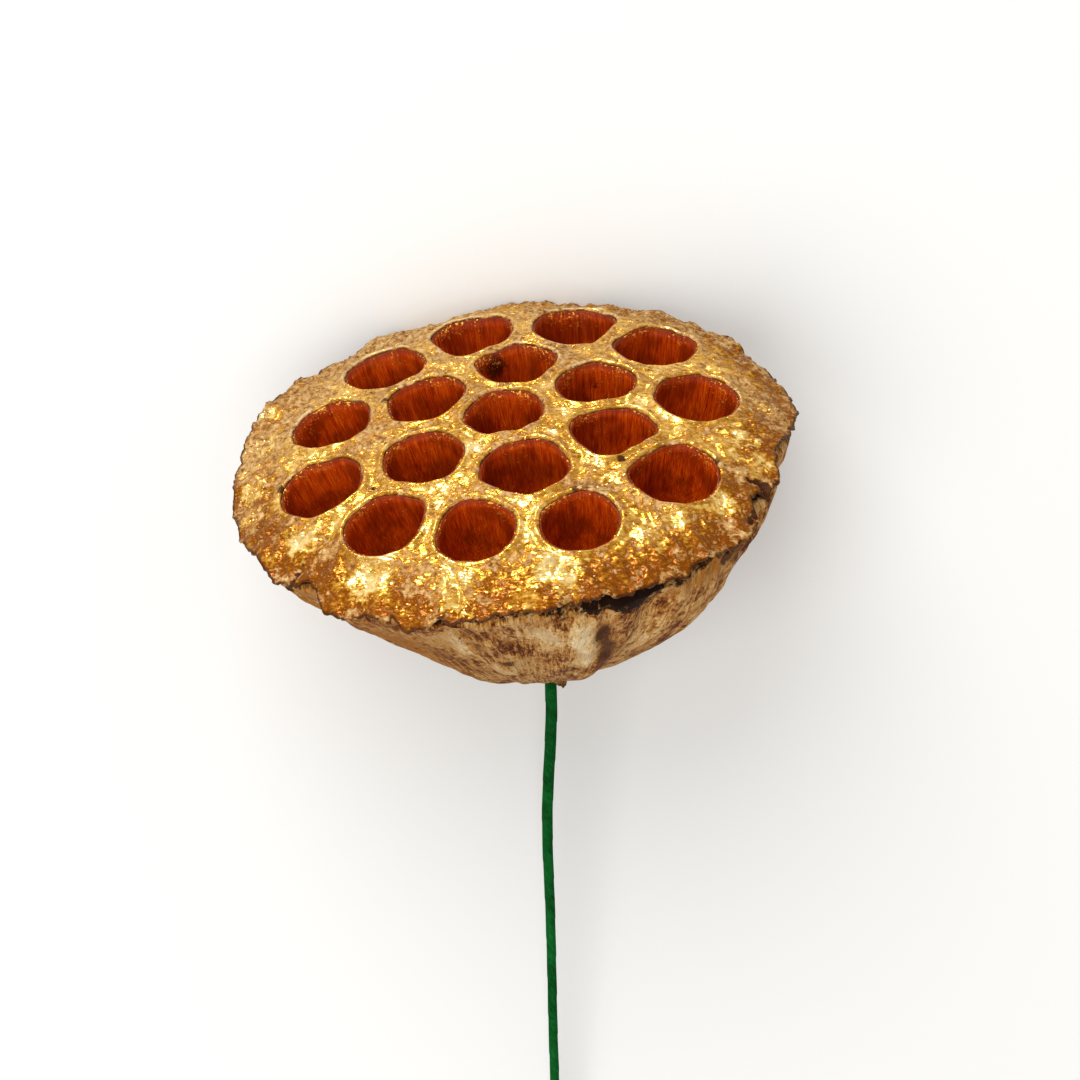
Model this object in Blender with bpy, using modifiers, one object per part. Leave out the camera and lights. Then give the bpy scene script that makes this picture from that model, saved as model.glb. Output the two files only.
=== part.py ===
"""A dried lotus pod on a wire stem wrapped in green tape, lying on a table. Metres, +Z up.

The pod is shaped in its own frame, in millimetres: the middle of its face is the origin, the face looks along
+Z and the stalk's end points along -Z. It is then laid down, so that two low lobes of its rim rest on the
table, and the stem runs from its base along -Y until its cut end touches the table too. The origin is the
middle of the whole object's footprint, at table height. Directions round the pod are in degrees, from +X.
"""

import math

import bmesh
import bpy
from mathutils import Matrix, Vector, noise
from mathutils.geometry import delaunay_2d_cdt

MM = 0.001

# The face is a shallow dome whose margin turns down, less so towards one side
RIM_RADIUS = 45.2
DOME_FALL = 0.0033
MARGIN_START = 34.0
MARGIN_FALL = 0.022
FLAT_MARGIN = (148, 0.8, 33)
CRUMPLE_HEIGHT = 0.35
CRUMPLE_SCALE = 0.35
SPOKE_HEIGHT = 1.3
SPOKE_SCALE = 7

# Lobes and dents of the rim's outline, and where its edge flares up: direction, size, half width
RIM_LOBES = (
    (77, 2.0, 6),
    (104, 1.9, 6),
    (58, 1.0, 5),
    (43, 0.9, 5),
    (6, 0.9, 7),
    (-17, -2.0, 10),
    (-33, -2.2, 4),
    (-42, 1.0, 5),
    (-90, -1.7, 22),
    (-135, 0.6, 5),
    (-142, -1.6, 4),
    (-160, 0.7, 12),
)
RIM_FLARES = ((78, 1.3, 6), (57, 1.0, 6), (34, 0.9, 12), (152, 0.8, 14))
RIM_RAGGED = 0.55
RIM_WAVE = 0.7
RIM_EDGE = 0.9
RIM_OVERHANG = 1.6
WIDE_OVERHANG = (-68, 1.2, 16)

# The mouths of the 18 seed chambers: centre x, centre y, furthest reach from that centre
MOUTHS = (
    (-0.6, 0.3, 7.1),
    (2.8, 15.2, 7.0),
    (14.8, 5.2, 7.0),
    (16.2, -8.4, 7.3),
    (1.4, -15.2, 7.6),
    (-14.0, -8.0, 7.2),
    (-12.4, 8.6, 7.3),
    (13.0, 27.0, 7.4),
    (25.4, 17.6, 6.9),
    (29.9, -0.1, 7.0),
    (24.1, -19.6, 7.2),
    (8.3, -28.8, 6.5),
    (-7.5, -27.2, 6.9),
    (-21.1, -21.4, 6.9),
    (-30.4, -8.1, 7.0),
    (-27.6, 8.7, 7.0),
    (-18.2, 22.7, 7.0),
    (-3.4, 28.7, 7.4),
)
WEB = 2.6
NEIGHBOUR_REACH = 26.0
CORNER_SHARPNESS = 8.0
LIP_HEIGHT = 0.75
LIP_WIDTH = 0.75
LIP_CREST = 0.8

# The chambers lean together towards a point deep on the axis, and end in a rounded floor
CHAMBER_DEPTH = 16.5
CHAMBER_FOCUS = 130.0
CHAMBER_ROWS = (0.07, 0.34, 0.62, 0.83, 0.96)
FLOOR_ROUNDING = 3.4

# The underside narrows from the rim to the stalk. Swells and creases: direction, size, half width
UNDER_TOP = 9.5
UNDER_DEPTH = 40.5
UNDER_POWER = 0.6
UNDER_SWELLS = ((-44, 0.08, 36), (-125, -0.08, 45))
FOLD_COUNT = 19
FOLD_HEIGHT = 0.75
UNDER_CREASES = (
    (-51, 0.9, 6),
    (-65, -1.9, 5),
    (-76, 1.5, 5),
    (-92, -0.7, 5),
    (-111, -1.2, 5),
    (-123, 0.9, 5),
)
STALK_RADIUS = 3.4
STALK_END = -51.0
NUB = (15, 2.6, 32)

# How the pod lies: leaned back from upright, turned, and leaned again with the stem. Its base ends this high
LEAN = math.radians(-57)
TURN = math.radians(9)
LIE = math.radians(-5.7)
BASE_HEIGHT = 20.7

# The stem: a wire in a sleeve of tape. Bends: distance from the pod's base, drift to the side
STEM_LENGTH = 126.0
STEM_SIDE = 0.6
STEM_END_HEIGHT = 0.61
STEM_BENDS = ((9, 0.15), (24, -0.45), (32, -0.4), (42, 0.0), (53, 0.3), (66, 0.6), (92, 1.5), (126, 2.7))
WIRE_RADIUS = 0.4
WIRE_IN_POD = 10.0
TAPE_RADIUS = 0.95
TAPE_RADIUS_LOW = 0.74
TAPE_WALL = 0.22
TAPE_IN_POD = 8.0
TAPE_END = 125.2
SOCKET_RADIUS = 1.25
SOCKET_DEPTH = 10.5

# Mesh spacing
MOUTH_POINTS = 20
RIM_POINTS = 96
WEB_SPACING = 2.3
UNDER_ROWS = (
    (0.055, 96),
    (0.12, 96),
    (0.2, 96),
    (0.3, 96),
    (0.41, 72),
    (0.53, 72),
    (0.65, 48),
    (0.77, 48),
    (0.87, 32),
    (0.95, 24),
    (0.985, 24),
)
STALK_POINTS = 24
STALK_END_POINTS = 12


def smooth(value, low, high):
    share = min(max((value - low) / (high - low), 0.0), 1.0)
    return share * share * (3 - 2 * share)


def hump(angle, direction, size, half_width):
    """A smooth hump of that size at a direction round the pod."""
    away = (math.degrees(angle) - direction + 180) % 360 - 180
    return size * math.exp(-((away / half_width) ** 2))


def humps(angle, several):
    return sum(hump(angle, *each) for each in several)


def rim_radius(angle):
    """The rim's distance from the axis: nearly round, with broad lobes and fine ragged teeth."""
    spot = Vector((math.cos(angle), math.sin(angle), 0.3))
    ragged = noise.noise(spot * 9) + 0.8 * noise.noise(spot * 23)
    return RIM_RADIUS + humps(angle, RIM_LOBES) + RIM_RAGGED * ragged


def rim_wave(angle):
    """How far the rim's edge waves up and down."""
    spot = Vector((math.cos(angle), math.sin(angle), 4.7))
    return RIM_WAVE * (noise.noise(spot * 2.5) + 0.7 * noise.noise(spot * 7))


def mouth_reach(index, angle):
    """How far a mouth reaches from its centre: round, and flattened towards each neighbour."""
    x, y, widest = MOUTHS[index]
    total = widest**-CORNER_SHARPNESS
    for other, (other_x, other_y, other_widest) in enumerate(MOUTHS):
        apart = math.hypot(other_x - x, other_y - y)
        if other == index or apart > NEIGHBOUR_REACH:
            continue
        side = (apart - WEB) * widest / (widest + other_widest)
        facing = math.cos(angle - math.atan2(other_y - y, other_x - x))
        total += (max(facing, 0.0) / side) ** CORNER_SHARPNESS
    return total ** (-1 / CORNER_SHARPNESS)


def mouth_gap(x, y):
    """Distance from a point of the face to the nearest mouth's edge."""
    gaps = []
    for index, (mouth_x, mouth_y, _) in enumerate(MOUTHS):
        away = math.hypot(x - mouth_x, y - mouth_y)
        gaps.append(away - mouth_reach(index, math.atan2(y - mouth_y, x - mouth_x)))
    return min(gaps)


def face_height(x, y):
    """The face: a dome with a raised lip round each mouth, crumpled webs and a wrinkled margin."""
    radius = math.hypot(x, y)
    angle = math.atan2(y, x)
    margin_fall = MARGIN_FALL * (1 - hump(angle, *FLAT_MARGIN))
    height = -DOME_FALL * radius**2 - margin_fall * max(radius - MARGIN_START, 0.0) ** 2
    height += LIP_HEIGHT * math.exp(-(((mouth_gap(x, y) - LIP_CREST) / LIP_WIDTH) ** 2))
    height += CRUMPLE_HEIGHT * noise.noise(Vector((x, y, 0.0)) * CRUMPLE_SCALE)
    round_rim = Vector((math.cos(angle), math.sin(angle), 0.0)) * SPOKE_SCALE
    spokes = SPOKE_HEIGHT * noise.noise(round_rim + Vector((0.0, 0.0, radius * 0.02)))
    height += smooth(radius, MARGIN_START, RIM_RADIUS) * (spokes + rim_wave(angle))
    return height + humps(angle, RIM_FLARES) * smooth(radius, 40, RIM_RADIUS)


def circle_angles(count, start=0.0):
    return [2 * math.pi * (step + start) / count for step in range(count)]


def mouth_ring(index, offset):
    """Points round a mouth, at a distance outside its edge."""
    x, y, _ = MOUTHS[index]
    ring = []
    for angle in circle_angles(MOUTH_POINTS):
        reach = mouth_reach(index, angle) + offset
        ring.append((x + reach * math.cos(angle), y + reach * math.sin(angle)))
    return ring


def rim_ring(inset, start):
    """Points round the face, at a distance inside the rim's edge."""
    ring = []
    for angle in circle_angles(RIM_POINTS, start):
        reach = rim_radius(angle) - inset
        ring.append((reach * math.cos(angle), reach * math.sin(angle)))
    return ring


def web_points():
    """Points of a staggered grid that fill the face between the lips and the rim."""
    points = []
    rows = int(RIM_RADIUS / WEB_SPACING) + 1
    for row in range(-rows, rows + 1):
        for column in range(-rows, rows + 1):
            x = WEB_SPACING * (column + 0.5 * (row % 2))
            y = WEB_SPACING * row * math.sin(math.radians(60))
            inside = math.hypot(x, y) < rim_radius(math.atan2(y, x)) - 1.2 * WEB_SPACING
            if inside and mouth_gap(x, y) > LIP_CREST + 0.25 * WEB_SPACING:
                points.append((x, y))
    return points


def zip_loops(bm, first, second):
    """Skins the band between two closed loops of vertices, whose counts may differ."""
    i = j = 0
    while i < len(first) or j < len(second):
        a = first[i % len(first)]
        b = second[j % len(second)]
        if j == len(second) or (i < len(first) and i * len(second) <= j * len(first)):
            i += 1
            bm.faces.new((a, b, first[i % len(first)]))
        else:
            j += 1
            bm.faces.new((a, b, second[j % len(second)]))


def add_face(bm):
    """Skins the face between the mouths. Returns the rim's edge and each mouth's edge, as loops."""
    loops = [rim_ring(0.0, 0.0)]
    for index in range(len(MOUTHS)):
        loops.append(mouth_ring(index, 0.0))
        loops.append(mouth_ring(index, LIP_CREST))
    points = []
    edges = []
    for loop in loops:
        start = len(points)
        points += loop
        edges += [(start + k, start + (k + 1) % len(loop)) for k in range(len(loop))]
    points += rim_ring(0.6 * WEB_SPACING, 0.5) + web_points()
    flat, _, triangles, sources, _, _ = delaunay_2d_cdt(
        [Vector(point) for point in points], edges, [], 1, 1e-5
    )
    place = {source[0]: k for k, source in enumerate(sources)}
    verts = [bm.verts.new((p.x, p.y, face_height(p.x, p.y))) for p in flat]
    starts = [RIM_POINTS + 2 * MOUTH_POINTS * index for index in range(len(MOUTHS))]
    mouth_of = {start + k: start for start in starts for k in range(MOUTH_POINTS)}
    for triangle in triangles:
        owners = {mouth_of.get(sources[k][0]) for k in triangle}
        if len(owners) > 1 or None in owners:
            bm.faces.new([verts[k] for k in triangle])
    rim = [verts[place[k]] for k in range(RIM_POINTS)]
    return rim, [[verts[place[start + k]] for k in range(MOUTH_POINTS)] for start in starts]


def add_chamber(bm, index, mouth):
    """Hangs the chamber's wall from the mouth's edge and closes it with a rounded floor."""
    x, y, _ = MOUTHS[index]
    top = Vector((x, y, face_height(x, y)))
    down = (Vector((0, 0, -CHAMBER_FOCUS)) - top).normalized()
    above = mouth
    for share in CHAMBER_ROWS:
        width = math.sqrt(1 - share**FLOOR_ROUNDING)
        centre = top + down * (share * CHAMBER_DEPTH)
        row = []
        for angle in circle_angles(MOUTH_POINTS):
            reach = mouth_reach(index, angle) * width
            side = Vector((math.cos(angle), math.sin(angle), 0)) * reach
            row.append(bm.verts.new(centre + side - down * side.dot(down)))
        zip_loops(bm, above, row)
        above = row
    bm.faces.new(above)


def under_point(angle, share):
    """A point of the underside, at a share of the way from the rim to the stalk."""
    narrow = (1 - share) ** UNDER_POWER
    swell = 1 + humps(angle, UNDER_SWELLS) * math.sin(math.pi * share)
    radius = (rim_radius(angle) * (1 - share) + RIM_RADIUS * share) * narrow * swell
    spot = Vector((math.cos(angle) * 1.6, math.sin(angle) * 1.6, share * 1.5))
    fold = math.sin(FOLD_COUNT * angle + 4 * noise.noise(spot)) + 1.3 * noise.noise(spot * 2.2)
    relief = FOLD_HEIGHT * fold + humps(angle, UNDER_CREASES)
    radius += relief * narrow * smooth(share, 0.0, 0.15)
    rim_height = face_height(RIM_RADIUS * math.cos(angle), RIM_RADIUS * math.sin(angle))
    height = rim_height * (1 - share) - (UNDER_TOP + UNDER_DEPTH) * share
    return Vector((radius * math.cos(angle), radius * math.sin(angle), height))


def add_stalk_stub(bm, above):
    """The ragged stub of the old stalk, with a nub to one side, and its end round the stem."""
    for radius, jag in ((STALK_RADIUS, 0.0), (STALK_RADIUS - 0.4, 1.0)):
        row = []
        for step, angle in enumerate(circle_angles(STALK_POINTS)):
            height = STALK_END - jag * (0.8 + hump(angle, *NUB) + 0.4 * (step % 2))
            row.append(bm.verts.new((radius * math.cos(angle), radius * math.sin(angle), height)))
        zip_loops(bm, above, row)
        above = row
    radius = 0.55 * STALK_RADIUS
    end = [
        bm.verts.new((radius * math.cos(angle), radius * math.sin(angle), STALK_END))
        for angle in circle_angles(STALK_END_POINTS)
    ]
    zip_loops(bm, above, end)
    bm.faces.new(end)


def add_underside(bm, rim):
    """The rim's thin edge, the groove under its overhang, the folded flank and the stub of the stalk."""
    groove = []
    for vert in rim:
        angle = math.atan2(vert.co.y, vert.co.x)
        reach = vert.co.xy.length - RIM_OVERHANG - hump(angle, *WIDE_OVERHANG)
        spot = (reach * math.cos(angle), reach * math.sin(angle), vert.co.z - RIM_EDGE)
        groove.append(bm.verts.new(spot))
    zip_loops(bm, rim, groove)
    above = groove
    for share, count in UNDER_ROWS:
        row = [bm.verts.new(under_point(angle, share)) for angle in circle_angles(count)]
        zip_loops(bm, above, row)
        above = row
    add_stalk_stub(bm, above)


def plain_material(name, colour, roughness, metallic):
    material = bpy.data.materials.new(name)
    material.use_nodes = True
    shader = material.node_tree.nodes["Principled BSDF"]
    shader.inputs["Base Color"].default_value = (*colour, 1)
    shader.inputs["Roughness"].default_value = roughness
    shader.inputs["Metallic"].default_value = metallic
    return material


def add_object(name, data, collection, parent):
    thing = bpy.data.objects.new(name, data)
    collection.objects.link(thing)
    thing.parent = parent
    return thing


def add_mesh(name, bm, collection, parent):
    mesh = bpy.data.meshes.new(name)
    bm.to_mesh(mesh)
    bm.free()
    return add_object(name, mesh, collection, parent)


def make_pod(collection, parent):
    bm = bmesh.new()
    rim, mouths = add_face(bm)
    for index, mouth in enumerate(mouths):
        add_chamber(bm, index, mouth)
    add_underside(bm, rim)
    bmesh.ops.triangulate(bm, faces=bm.faces)
    bmesh.ops.recalc_face_normals(bm, faces=bm.faces)
    bmesh.ops.scale(bm, vec=(MM, MM, MM), verts=bm.verts)
    pod = add_mesh("pod", bm, collection, parent)
    pod.data.shade_smooth()
    pod.data.set_sharp_from_angle(angle=math.radians(50))
    pod.data.materials.append(plain_material("pod", (0.66, 0.42, 0.12), 0.45, 0.4))
    lean = Matrix.Rotation(TURN, 4, "Z") @ Matrix.Rotation(LEAN, 4, "X")
    laid = Matrix.Rotation(LIE, 4, "X") @ lean
    base = Vector((0, 0, BASE_HEIGHT * MM))
    pod.matrix_local = Matrix.Translation(base - laid @ Vector((0, 0, STALK_END * MM))) @ laid
    return pod


def stem_point(along, drift):
    """A point of the stem's middle line, by its distance from the pod's base and its drift to the side."""
    drop = BASE_HEIGHT - STEM_END_HEIGHT
    run = math.sqrt(STEM_LENGTH**2 - drop**2)
    share = along / STEM_LENGTH
    return Vector((STEM_SIDE + drift, -run * share, BASE_HEIGHT - drop * share)) * MM


def make_stem_piece(name, start, end, radius, radius_low, collection, parent):
    """A round piece along the stem's bends, which thins towards the middle of the stem and stays so."""
    curve = bpy.data.curves.new(name, "CURVE")
    curve.dimensions = "3D"
    curve.resolution_u = 3
    curve.bevel_depth = radius * MM
    curve.bevel_resolution = 2
    bends = [bend for bend in STEM_BENDS if bend[0] < end]
    route = [(-start, 0.0), (0.0, 0.0), *bends, (end, STEM_BENDS[-1][1])]
    spline = curve.splines.new("BEZIER")
    spline.bezier_points.add(len(route) - 1)
    for point, (along, drift) in zip(spline.bezier_points, route):
        point.co = stem_point(along, drift)
        point.handle_left_type = "AUTO"
        point.handle_right_type = "AUTO"
        point.radius = 1 + (radius_low / radius - 1) * smooth(along, 0, STEM_LENGTH / 2)
    return add_object(name, curve, collection, parent)


def make_wire(collection, parent):
    wire = make_stem_piece(
        "stem_core", WIRE_IN_POD, STEM_LENGTH, WIRE_RADIUS, WIRE_RADIUS, collection, parent
    )
    wire.data.use_fill_caps = True
    wire.data.materials.append(plain_material("stem_core", (0.45, 0.45, 0.46), 0.35, 1.0))
    return wire


def make_tape(collection, parent):
    tape = make_stem_piece(
        "stem_wrap", TAPE_IN_POD, TAPE_END, TAPE_RADIUS, TAPE_RADIUS_LOW, collection, parent
    )
    wall = tape.modifiers.new("wall", "SOLIDIFY")
    wall.thickness = TAPE_WALL * MM
    wall.offset = -1
    tape.data.materials.append(plain_material("stem_wrap", (0.03, 0.17, 0.05), 0.7, 0.0))
    return tape


def make_socket_cutter(collection, parent):
    """The hole that the stem stands in, along the stem's own first stretch."""
    inner = stem_point(-SOCKET_DEPTH, 0.0)
    outer = stem_point(2 * STALK_RADIUS, 0.0)
    bm = bmesh.new()
    bmesh.ops.create_cone(
        bm,
        cap_ends=True,
        segments=12,
        radius1=SOCKET_RADIUS * MM,
        radius2=SOCKET_RADIUS * MM,
        depth=(outer - inner).length,
    )
    cutter = add_mesh("socket_cutter", bm, collection, parent)
    along = (outer - inner).to_track_quat("Z", "Y").to_matrix().to_4x4()
    cutter.matrix_local = Matrix.Translation((inner + outer) / 2) @ along
    return cutter


def make_table_cutter(collection, parent):
    """The space below the table, which leaves the rim's two low lobes flat."""
    side = 6 * RIM_RADIUS * MM
    bm = bmesh.new()
    bmesh.ops.create_cube(bm, size=side)
    cutter = add_mesh("table_cutter", bm, collection, parent)
    cutter.location = (0, RIM_RADIUS * MM, -side / 2)
    return cutter


def cut(thing, cutter, name):
    modifier = thing.modifiers.new(name, "BOOLEAN")
    modifier.object = cutter
    modifier.operation = "DIFFERENCE"
    cutter.hide_render = True
    cutter.display_type = "WIRE"


def centre_on_footprint(parent, things):
    """Moves the whole object so that the origin is the middle of its footprint."""
    bpy.context.view_layer.update()
    graph = bpy.context.evaluated_depsgraph_get()
    corners = []
    for thing in things:
        seen = thing.evaluated_get(graph)
        corners += [seen.matrix_world @ vert.co for vert in seen.to_mesh().vertices]
        seen.to_mesh_clear()
    for axis in (0, 1):
        values = [corner[axis] for corner in corners]
        parent.location[axis] = -(min(values) + max(values)) / 2


def build():
    for thing in list(bpy.data.objects):
        bpy.data.objects.remove(thing)
    parts = bpy.data.collections.new("dried_lotus_pod")
    cutters = bpy.data.collections.new("cutters")
    bpy.context.scene.collection.children.link(parts)
    bpy.context.scene.collection.children.link(cutters)
    whole = bpy.data.objects.new("lotus_pod", None)
    parts.objects.link(whole)
    pod = make_pod(parts, whole)
    cut(pod, make_socket_cutter(cutters, whole), "stem socket")
    cut(pod, make_table_cutter(cutters, whole), "rest")
    centre_on_footprint(whole, (pod, make_tape(parts, whole), make_wire(parts, whole)))


build()
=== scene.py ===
"""The dressed dried lotus pod: gilded face, glossy seed chambers, woody underside and taped wire stem."""

import math

import bmesh
import bpy
from mathutils import Matrix, Vector, noise
from mathutils.geometry import delaunay_2d_cdt


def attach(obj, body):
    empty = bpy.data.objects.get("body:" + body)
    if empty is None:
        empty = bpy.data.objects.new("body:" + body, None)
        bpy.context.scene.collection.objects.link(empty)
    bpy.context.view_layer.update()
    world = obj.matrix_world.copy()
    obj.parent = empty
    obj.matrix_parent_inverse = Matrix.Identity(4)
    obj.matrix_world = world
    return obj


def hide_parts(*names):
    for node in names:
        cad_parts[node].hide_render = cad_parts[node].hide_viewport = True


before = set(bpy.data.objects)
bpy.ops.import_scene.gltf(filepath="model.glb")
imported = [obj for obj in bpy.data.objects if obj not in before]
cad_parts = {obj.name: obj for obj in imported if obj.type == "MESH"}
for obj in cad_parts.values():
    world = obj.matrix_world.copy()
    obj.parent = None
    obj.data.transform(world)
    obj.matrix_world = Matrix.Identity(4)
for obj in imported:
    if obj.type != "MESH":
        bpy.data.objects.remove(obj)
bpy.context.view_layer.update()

# The view: a white studio table, seen from above as the pod lies on it. The lens is a long one, 0.7 m away,
# and looks at a point a little below the pod's face, so that the stem runs out at the bottom of the picture.

MM = 0.001
POD_BASE = Vector((5.15, 32.69, 20.7)) * MM
POD_LENGTH = 51.0 * MM
LEAN = math.radians(-57)
TURN = math.radians(9)
LIE = math.radians(-5.7)
POD_TURN = Matrix.Rotation(LIE, 4, "X") @ Matrix.Rotation(TURN, 4, "Z") @ Matrix.Rotation(LEAN, 4, "X")
FACE_MIDDLE = POD_BASE + POD_TURN @ Vector((0, 0, POD_LENGTH))
EYE_DISTANCE = 0.7
AIM_RIGHT = 5.4 * MM
AIM_DOWN = 20.5 * MM
LENS = 146.8
FLOOR_HALF = 3.0


def add_object(name, data):
    """A new object of that data, in the scene."""
    thing = bpy.data.objects.new(name, data)
    bpy.context.scene.collection.objects.link(thing)
    return thing


eye_turn = Matrix.Rotation(LIE, 4, "X")
lens = bpy.data.cameras.new("camera")
lens.lens = LENS
lens.sensor_width = 36
camera = add_object("camera", lens)
camera.location = FACE_MIDDLE + eye_turn @ Vector((0, 0, EYE_DISTANCE))
camera.rotation_euler = (LIE - AIM_DOWN / EYE_DISTANCE, -AIM_RIGHT / EYE_DISTANCE, 0)
bpy.context.scene.camera = camera

floor_mesh = bpy.data.meshes.new("studio_floor")
floor_corners = [(FLOOR_HALF * x, FLOOR_HALF * y, 0) for x, y in ((-1, -1), (1, -1), (1, 1), (-1, 1))]
floor_mesh.from_pydata(floor_corners, [], [(0, 1, 2, 3)])
studio_floor = add_object("studio_floor", floor_mesh)
paper = bpy.data.materials.new("studio_paper")
paper.use_nodes = True
paper_shader = paper.node_tree.nodes["Principled BSDF"]
paper_shader.inputs["Base Color"].default_value = (0.80, 0.80, 0.79, 1)
paper_shader.inputs["Roughness"].default_value = 0.9
paper_shader.inputs["Specular IOR Level"].default_value = 0.1
floor_mesh.materials.append(paper)


def softbox(name, place, width, watts, tint=(1, 1, 1), lights=True, glints=True):
    """A soft lamp that faces the pod. It can be kept from lighting what is matt, or from making glints."""
    lamp = bpy.data.lights.new(name, "AREA")
    lamp.shape = "DISK"
    lamp.size = width
    lamp.energy = watts
    lamp.color = tint
    stand = add_object(name, lamp)
    stand.location = place
    stand.rotation_euler = (FACE_MIDDLE - Vector(place)).to_track_quat("-Z", "Y").to_euler()
    stand.visible_diffuse = lights
    stand.visible_glossy = glints


softbox("key_softbox", (-0.3, 0.75, 0.85), 0.8, 5, glints=False)
softbox("top_softbox", (-0.35, -0.3, 1.25), 1.1, 8.5)
softbox("glint_softbox", (-0.25, 1.0, 0.30), 0.30, 9.5, (1, 0.98, 0.95), lights=False)
sky = bpy.data.worlds.new("studio_room")
sky.use_nodes = True
sky.node_tree.nodes["Background"].inputs["Color"].default_value = (1.0, 0.985, 0.96, 1)
sky.node_tree.nodes["Background"].inputs["Strength"].default_value = 0.45
bpy.context.scene.world = sky
bpy.context.scene.view_settings.view_transform = "Standard"
bpy.context.scene.view_settings.look = "Medium High Contrast"


# The pod's skin: a thin dry shell that rolls down into each seed chamber and ends in a torn rim. Its form is
# worked out in the pod's own frame, in millimetres, with the middle of the face at the origin, facing +Z.
# Lobes and flares are (direction in degrees, size, half width), and spots are (x, y, radius, strength).

RIM_RADIUS = 45.2
RIM_RAGGEDNESS = 0.72
RIM_RAGS = ((1.0, 9), (0.8, 23))
RIM_TEETH = ((0.18, 52), (0.10, 130))
RIM_WAVE_HEIGHT = 0.7
RIM_WAVES = ((1.0, 2.5), (0.7, 7))
DOME_FALL = 0.0033
MARGIN_START = 34.0
MARGIN_FALL = 0.022
SPOKE_HEIGHT = 1.3
FLARE_START = 40
DOME_DENTS = ((0.35, 0.35),)
SKIN_DENTS = ((0.42, 0.38), (0.18, 1.2))
FLAT_MARGIN = (148, 0.8, 33)
RIM_LOBES = (
    (77, 2.0, 6),
    (104, 1.9, 6),
    (58, 1.0, 5),
    (43, 0.9, 5),
    (6, 0.9, 7),
    (-17, -2.0, 10),
    (-33, -2.2, 4),
    (-42, 1.0, 5),
    (-90, -1.7, 22),
    (-135, 0.6, 5),
    (-142, -1.6, 4),
    (-160, 0.7, 12),
)
RIM_FLARES = ((78, 1.3, 6), (57, 1.0, 6), (34, 0.9, 12), (152, 0.8, 14))
MOUTHS = (
    (-0.6, 0.3, 7.1),
    (2.8, 15.2, 7.0),
    (14.8, 5.2, 7.0),
    (16.2, -8.4, 7.3),
    (1.4, -15.2, 7.6),
    (-14.0, -8.0, 7.2),
    (-12.4, 8.6, 7.3),
    (13.0, 27.0, 7.4),
    (25.4, 17.6, 6.9),
    (29.9, -0.1, 7.0),
    (24.1, -19.6, 7.2),
    (8.3, -28.8, 6.5),
    (-7.5, -27.2, 6.9),
    (-21.1, -21.4, 6.9),
    (-30.4, -8.1, 7.0),
    (-27.6, 8.7, 7.0),
    (-18.2, 22.7, 7.0),
    (-3.4, 28.7, 7.4),
)
WEB = 2.6
NEIGHBOUR_REACH = 26.0
CORNER_SHARPNESS = 8.0
FAR_GAP = 8.0
LIP_HEIGHT = 0.45
LIP_WIDTH = 0.6
LIP_CREST = 0.6
LIP_ROLL = 0.22
BACK_ROW = 15.0
SAG_DEPTH = 0.7
SAG_REACH = 2.2
# Cracks in the rim: the face is lowered in them, and they are painted dark as the shade inside them.
CRACKS = (
    (35.8, -19.8, 0.6, 0.8),
    (37.0, -20.0, 0.7, 1.0),
    (38.2, -20.4, 0.8, 1.1),
    (38.1, -21.6, 0.8, 1.1),
    (37.6, -22.8, 0.8, 1.1),
    (37.0, -24.0, 0.8, 1.0),
    (36.3, -25.3, 0.7, 1.0),
    (35.5, -26.5, 0.7, 0.9),
    (34.6, -27.7, 0.7, 0.8),
    (-37.2, -24.2, 0.7, 1.0),
    (-36.0, -23.2, 0.6, 0.9),
    (-34.9, -22.4, 0.5, 0.6),
)
CRACK_DEPTH = 0.9
GRIME = (
    (-37.2, -5.2, 0.9, 1.0),
    (-36.4, -7.0, 0.8, 0.9),
    (-19.0, 10.6, 0.8, 0.9),
    (16.6, -16.2, 0.9, 0.9),
    (29.6, -16.2, 1.0, 1.0),
    (31.2, -17.6, 0.8, 0.7),
    (8.6, -22.2, 1.0, 0.6),
    (10.6, -22.4, 0.9, 0.5),
    (-22.6, -12.2, 0.7, 0.7),
    (2.0, -22.4, 0.7, 0.6),
    (22.4, -4.4, 0.7, 0.6),
    (9.0, 33.6, 0.9, 0.6),
    (-8.6, 15.2, 0.7, 0.6),
    (20.6, 11.0, 0.7, 0.7),
)
# Spots where the gold is painted lighter and more metallic, as painted highlights.
PAINTED_HIGHLIGHTS = (
    (-34.0, -18.7, 3.5, 0.9),
    (-40.1, 11.4, 3.0, 0.9),
    (-33.5, 0.8, 2.5, 0.7),
    (-42.1, -0.6, 2.6, 0.9),
    (-42.0, 5.2, 2.6, 0.8),
    (-42.6, -6.6, 2.8, 0.8),
    (-24.0, -29.8, 4.5, 1.0),
    (-12.0, -36.8, 4.5, 1.0),
    (4.1, -37.8, 4.5, 1.0),
    (18.5, -33.1, 3.0, 0.8),
    (23.2, -29.2, 3.0, 0.8),
    (30.4, -26.4, 3.0, 0.9),
    (37.2, -17.6, 3.2, 0.8),
    (36.1, -10.4, 3.2, 0.7),
    (0.4, -22.7, 2.6, 0.9),
    (-11.9, -16.8, 2.6, 0.9),
    (-5.4, -8.4, 2.2, 0.8),
    (4.7, -8.7, 2.2, 0.7),
    (12.4, -16.1, 2.2, 0.8),
    (14.5, -21.2, 2.2, 0.8),
    (-20.9, -2.4, 2.2, 0.7),
    (9.4, -1.3, 1.8, 0.6),
    (-13.9, -20.9, 2.0, 0.8),
    (17.1, 33.9, 2.2, 0.7),
    (29.5, 23.8, 2.4, 0.7),
    (-39.0, 19.9, 2.6, 0.7),
    (24.8, 4.0, 1.8, 0.6),
    (41.5, -1.5, 2.4, 0.7),
)
NUDGE_SEED = 4
WORN_MARGIN = ((118, 0.75, 36), (50, 0.15, 25), (5, 0.35, 10), (168, 0.35, 12))
BACK_WEAR = 0.35
SKIN_THICKNESS = 0.55
SKIN_SPACING = 0.42
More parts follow.
